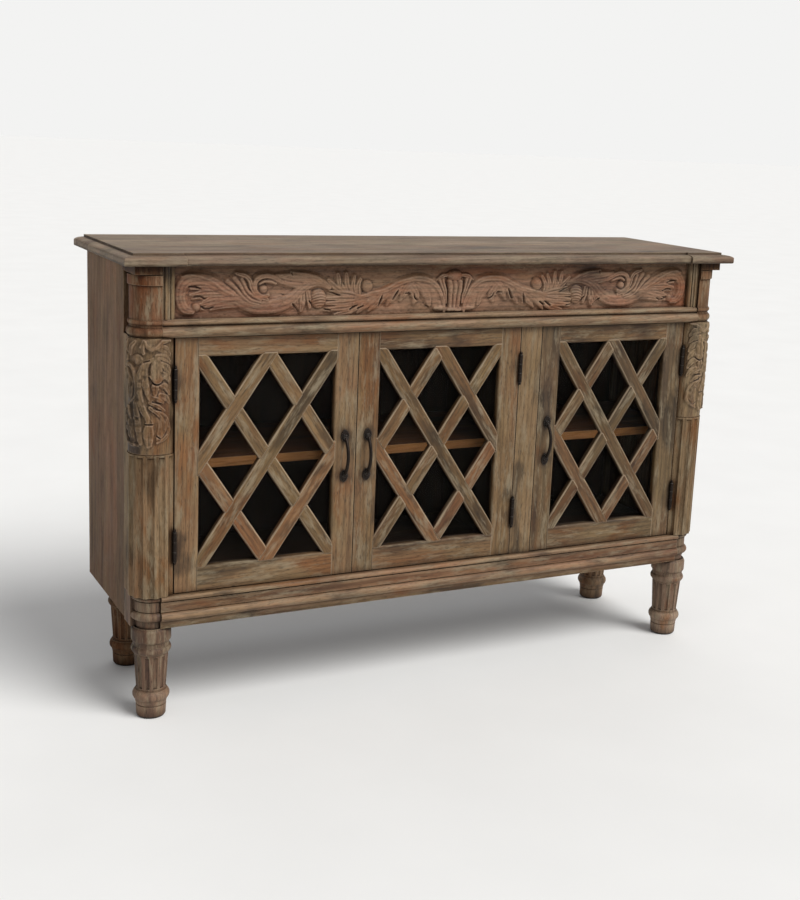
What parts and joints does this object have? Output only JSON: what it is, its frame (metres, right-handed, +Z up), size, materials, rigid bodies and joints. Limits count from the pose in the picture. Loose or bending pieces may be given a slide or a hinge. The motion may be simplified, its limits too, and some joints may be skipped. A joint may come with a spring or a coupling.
{
  "type": "sideboard",
  "caption": "Carved sideboard with latticed glass doors on hinges, a shelf in each bay, round fluted corner posts, a carved frieze and turned fluted legs.",
  "frame": {"origin": "middle of the footprint, on the floor under the feet", "axes": "+X along the width to the right as seen from the front, +Y from the doors to the back, +Z up"},
  "size_m": [1.4986, 0.4318, 0.9906],
  "materials": {
    "carved_wood": "limed and worn, matt",
    "top_wood": "limed and worn, low sheen",
    "frieze_wood": "carved, reddish brown, matt",
    "case_wood": "dark stain, matt",
    "inner_wood": "dark stain, matt",
    "wrought_iron": "blackened, rubbed at the edges",
    "glass": "clear",
    "plate_steel": "dull",
    "catch_housing": "matt"
  },
  "bodies": {
    "case": {"top_board": "top_wood", "side_panel_left": "case_wood", "side_panel_right": "case_wood", "back_panel": "case_wood", "floor_board": "inner_wood", "partition": "inner_wood", "shelf_left": "inner_wood", "shelf_right": "inner_wood", "shelf_cleats": "inner_wood", "divider_stile": "carved_wood", "frieze_panel": "frieze_wood", "frieze_end_mouldings": "carved_wood", "frieze_foot_moulding": "carved_wood", "corner_post_left": "carved_wood", "corner_post_right": "carved_wood", "base_front_moulding": "carved_wood", "base_front_rail": "case_wood", "base_rear_rail": "case_wood", "base_drum_left": "carved_wood", "base_drum_right": "carved_wood", "rear_leg_blocks": "case_wood", "front_leg_left": "carved_wood", "front_leg_right": "carved_wood", "rear_leg_left": "carved_wood", "rear_leg_right": "carved_wood", "case_hinge_leaves_and_pins": "wrought_iron", "magnetic_catches": "catch_housing"},
    "left_door": {"left_door_hinge_stile": "carved_wood", "left_door_lock_stile": "carved_wood", "left_door_top_rail": "carved_wood", "left_door_bottom_rail": "carved_wood", "left_door_lattice_front_bars": "carved_wood", "left_door_lattice_rear_bars": "carved_wood", "left_door_glass": "glass", "left_door_glass_beads": "inner_wood", "left_door_handle": "wrought_iron", "left_door_hinge_leaves": "wrought_iron", "left_door_strike_plate": "plate_steel"},
    "middle_door": {"middle_door_hinge_stile": "carved_wood", "middle_door_lock_stile": "carved_wood", "middle_door_top_rail": "carved_wood", "middle_door_bottom_rail": "carved_wood", "middle_door_lattice_front_bars": "carved_wood", "middle_door_lattice_rear_bars": "carved_wood", "middle_door_glass": "glass", "middle_door_glass_beads": "inner_wood", "middle_door_handle": "wrought_iron", "middle_door_hinge_leaves": "wrought_iron", "middle_door_strike_plate": "plate_steel"},
    "right_door": {"right_door_hinge_stile": "carved_wood", "right_door_lock_stile": "carved_wood", "right_door_top_rail": "carved_wood", "right_door_bottom_rail": "carved_wood", "right_door_lattice_front_bars": "carved_wood", "right_door_lattice_rear_bars": "carved_wood", "right_door_glass": "glass", "right_door_glass_beads": "inner_wood", "right_door_handle": "wrought_iron", "right_door_hinge_leaves": "wrought_iron", "right_door_strike_plate": "plate_steel"}
  },
  "joints": [
    {"name": "left_door_hinge", "type": "hinge", "parent": "case", "child": "left_door", "pos_m": [-0.639, -0.1875, 0.552], "axis": [0, 0, -1], "range_deg": [0, 110]},
    {"name": "middle_door_hinge", "type": "hinge", "parent": "case", "child": "middle_door", "pos_m": [0.175, -0.1875, 0.552], "axis": [0, 0, 1], "range_deg": [0, 110]},
    {"name": "right_door_hinge", "type": "hinge", "parent": "case", "child": "right_door", "pos_m": [0.639, -0.1875, 0.552], "axis": [0, 0, 1], "range_deg": [0, 110]}
  ]
}
